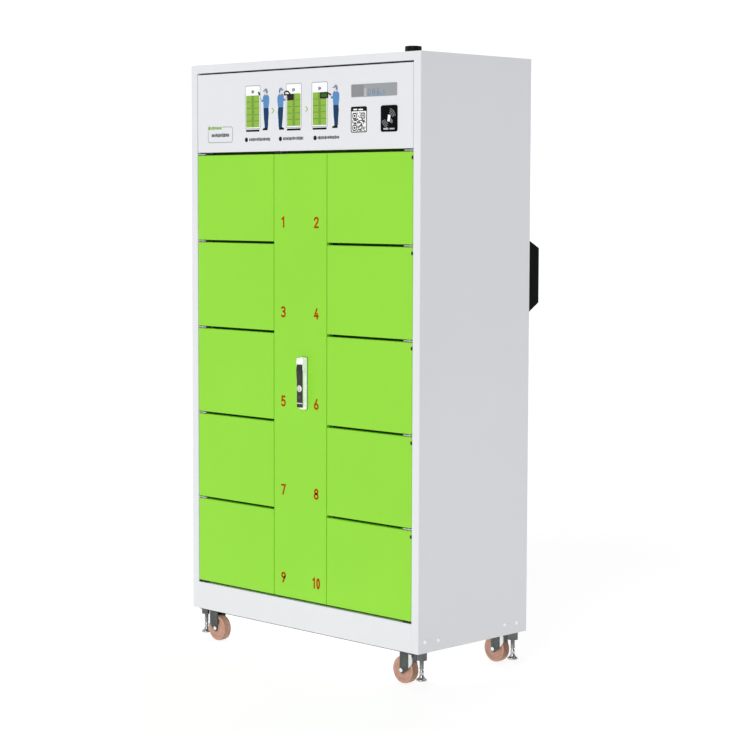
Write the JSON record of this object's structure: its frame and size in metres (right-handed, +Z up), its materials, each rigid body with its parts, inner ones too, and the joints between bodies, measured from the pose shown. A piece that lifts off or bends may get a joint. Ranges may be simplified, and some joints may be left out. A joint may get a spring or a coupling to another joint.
{
  "type": "charging locker kiosk",
  "caption": "Upright steel charging locker with two columns of green compartment doors, a middle service door with a swing handle, a header with display and reader, on casters.",
  "frame": {"origin": "middle of the footprint on the floor", "axes": "+Z up, doors face -Y, +X to the right as seen from the front"},
  "size_m": [0.98, 0.5638, 1.825],
  "materials": {
    "white_paint": "satin powder coat",
    "green_paint": "satin powder coat",
    "zinc": "zinc plated",
    "dark_steel": "dark plated steel",
    "chrome": "polished",
    "black_plastic": "fine grain",
    "display_glass": "smoked, polished",
    "nylon": "moulded, dusty"
  },
  "bodies": {
    "cabinet": {"side_panel_left": "white_paint", "side_panel_right": "white_paint", "top_panel": "white_paint", "base_frame": "white_paint", "rear_panel": "white_paint", "floor_panel": "white_paint", "header_floor": "white_paint", "shelf_left_1": "white_paint", "shelf_right_1": "white_paint", "shelf_left_2": "white_paint", "shelf_right_2": "white_paint", "shelf_left_3": "white_paint", "shelf_right_3": "white_paint", "shelf_left_4": "white_paint", "shelf_right_4": "white_paint", "divider_left": "white_paint", "divider_right": "white_paint", "charger_backplane_left": "white_paint", "charger_backplane_right": "white_paint", "hinge_rail_left": "zinc", "hinge_rail_right": "zinc", "lock_strip_left": "dark_steel", "lock_strip_right": "dark_steel", "control_box": "black_plastic", "power_supply": "black_plastic", "antenna": "black_plastic", "fan_frame": "black_plastic", "vent_hood": "black_plastic"},
    "door_1": {"door_1": "green_paint"},
    "door_2": {"door_2": "green_paint"},
    "door_3": {"door_3": "green_paint"},
    "door_4": {"door_4": "green_paint"},
    "door_5": {"door_5": "green_paint"},
    "door_6": {"door_6": "green_paint"},
    "door_7": {"door_7": "green_paint"},
    "door_8": {"door_8": "green_paint"},
    "door_9": {"door_9": "green_paint"},
    "door_10": {"door_10": "green_paint"},
    "service_door": {"service_door": "green_paint", "handle_base": "chrome"},
    "handle_spindle": {"handle_spindle": "chrome", "latch_cam": "zinc"},
    "handle_lever": {"handle_lever": "black_plastic"},
    "key_cylinder": {"key_cylinder": "chrome"},
    "header_panel": {"header_panel": "white_paint", "display_window": "display_glass", "card_reader": "black_plastic"},
    "fan_rotor": {"fan_rotor": "black_plastic"},
    "caster_fork_front_left": {"caster_fork_front_left": "dark_steel"},
    "caster_wheel_front_left": {"caster_wheel_front_left": "nylon"},
    "levelling_foot_front_left": {"levelling_foot_front_left": "chrome"},
    "caster_fork_front_right": {"caster_fork_front_right": "dark_steel"},
    "caster_wheel_front_right": {"caster_wheel_front_right": "nylon"},
    "levelling_foot_front_right": {"levelling_foot_front_right": "chrome"},
    "caster_fork_rear_left": {"caster_fork_rear_left": "dark_steel"},
    "caster_wheel_rear_left": {"caster_wheel_rear_left": "nylon"},
    "levelling_foot_rear_left": {"levelling_foot_rear_left": "chrome"},
    "caster_fork_rear_right": {"caster_fork_rear_right": "dark_steel"},
    "caster_wheel_rear_right": {"caster_wheel_rear_right": "nylon"},
    "levelling_foot_rear_right": {"levelling_foot_rear_right": "chrome"}
  },
  "joints": [
    {"name": "door_1_hinge", "type": "hinge", "parent": "cabinet", "child": "door_1", "pos_m": [-0.446, -0.25285, 1.3921], "axis": [0, 0, -1], "range_deg": [0, 105]},
    {"name": "door_2_hinge", "type": "hinge", "parent": "cabinet", "child": "door_2", "pos_m": [0.446, -0.25285, 1.3921], "axis": [0, 0, 1], "range_deg": [0, 105]},
    {"name": "door_3_hinge", "type": "hinge", "parent": "cabinet", "child": "door_3", "pos_m": [-0.446, -0.25285, 1.1243], "axis": [0, 0, -1], "range_deg": [0, 105]},
    {"name": "door_4_hinge", "type": "hinge", "parent": "cabinet", "child": "door_4", "pos_m": [0.446, -0.25285, 1.1243], "axis": [0, 0, 1], "range_deg": [0, 105]},
    {"name": "door_5_hinge", "type": "hinge", "parent": "cabinet", "child": "door_5", "pos_m": [-0.446, -0.25285, 0.8565], "axis": [0, 0, -1], "range_deg": [0, 105]},
    {"name": "door_6_hinge", "type": "hinge", "parent": "cabinet", "child": "door_6", "pos_m": [0.446, -0.25285, 0.8565], "axis": [0, 0, 1], "range_deg": [0, 105]},
    {"name": "door_7_hinge", "type": "hinge", "parent": "cabinet", "child": "door_7", "pos_m": [-0.446, -0.25285, 0.5887], "axis": [0, 0, -1], "range_deg": [0, 105]},
    {"name": "door_8_hinge", "type": "hinge", "parent": "cabinet", "child": "door_8", "pos_m": [0.446, -0.25285, 0.5887], "axis": [0, 0, 1], "range_deg": [0, 105]},
    {"name": "door_9_hinge", "type": "hinge", "parent": "cabinet", "child": "door_9", "pos_m": [-0.446, -0.25285, 0.3209], "axis": [0, 0, -1], "range_deg": [0, 105]},
    {"name": "door_10_hinge", "type": "hinge", "parent": "cabinet", "child": "door_10", "pos_m": [0.446, -0.25285, 0.3209], "axis": [0, 0, 1], "range_deg": [0, 105]},
    {"name": "service_door_hinge", "type": "hinge", "parent": "cabinet", "child": "service_door", "pos_m": [-0.098, -0.25285, 0.8565], "axis": [0, 0, -1], "range_deg": [0, 90]},
    {"name": "handle_turn", "type": "hinge", "parent": "service_door", "child": "handle_spindle", "pos_m": [0.0215, -0.27035, 0.907], "axis": [0, 1, 0], "range_deg": [0, 90]},
    {"name": "handle_tilt", "type": "hinge", "parent": "handle_spindle", "child": "handle_lever", "pos_m": [0.0215, -0.27535, 0.888], "axis": [-1, 0, 0], "range_deg": [0, 25]},
    {"name": "key_turn", "type": "hinge", "parent": "handle_lever", "child": "key_cylinder", "pos_m": [0.0215, -0.27535, 0.829], "axis": [0, 1, 0], "range_deg": [0, 90]},
    {"name": "header_flap_hinge", "type": "hinge", "parent": "cabinet", "child": "header_panel", "pos_m": [0, -0.25285, 1.756], "axis": [-1, 0, 0], "range_deg": [0, 80]},
    {"name": "fan_spin", "type": "hinge", "parent": "cabinet", "child": "fan_rotor", "pos_m": [0.368, 0.19465, 1.161], "axis": [0, 1, 0], "continuous": true},
    {"name": "caster_swivel_front_left", "type": "hinge", "parent": "cabinet", "child": "caster_fork_front_left", "pos_m": [-0.424, -0.22235, 0.092], "axis": [0, 0, 1], "range_deg": [-110, 110]},
    {"name": "caster_swivel_front_right", "type": "hinge", "parent": "cabinet", "child": "caster_fork_front_right", "pos_m": [0.424, -0.22235, 0.092], "axis": [0, 0, 1], "range_deg": [-110, 110]},
    {"name": "caster_swivel_rear_left", "type": "hinge", "parent": "cabinet", "child": "caster_fork_rear_left", "pos_m": [-0.424, 0.17565, 0.092], "axis": [0, 0, 1], "range_deg": [-110, 110]},
    {"name": "caster_swivel_rear_right", "type": "hinge", "parent": "cabinet", "child": "caster_fork_rear_right", "pos_m": [0.424, 0.17565, 0.092], "axis": [0, 0, 1], "range_deg": [-110, 110]},
    {"name": "wheel_spin_front_left", "type": "hinge", "parent": "caster_fork_front_left", "child": "caster_wheel_front_left", "pos_m": [-0.406, -0.22235, 0.04], "axis": [0, 1, 0], "continuous": true},
    {"name": "wheel_spin_front_right", "type": "hinge", "parent": "caster_fork_front_right", "child": "caster_wheel_front_right", "pos_m": [0.406, -0.22235, 0.04], "axis": [0, 1, 0], "continuous": true},
    {"name": "wheel_spin_rear_left", "type": "hinge", "parent": "caster_fork_rear_left", "child": "caster_wheel_rear_left", "pos_m": [-0.406, 0.17565, 0.04], "axis": [0, 1, 0], "continuous": true},
    {"name": "wheel_spin_rear_right", "type": "hinge", "parent": "caster_fork_rear_right", "child": "caster_wheel_rear_right", "pos_m": [0.406, 0.17565, 0.04], "axis": [0, 1, 0], "continuous": true},
    {"name": "foot_screw_front_left", "type": "slide", "parent": "cabinet", "child": "levelling_foot_front_left", "axis": [0, 0, -1], "range_m": [-0.01, 0.02]},
    {"name": "foot_screw_front_right", "type": "slide", "parent": "cabinet", "child": "levelling_foot_front_right", "axis": [0, 0, -1], "range_m": [-0.01, 0.02]},
    {"name": "foot_screw_rear_left", "type": "slide", "parent": "cabinet", "child": "levelling_foot_rear_left", "axis": [0, 0, -1], "range_m": [-0.01, 0.02]},
    {"name": "foot_screw_rear_right", "type": "slide", "parent": "cabinet", "child": "levelling_foot_rear_right", "axis": [0, 0, -1], "range_m": [-0.01, 0.02]}
  ]
}
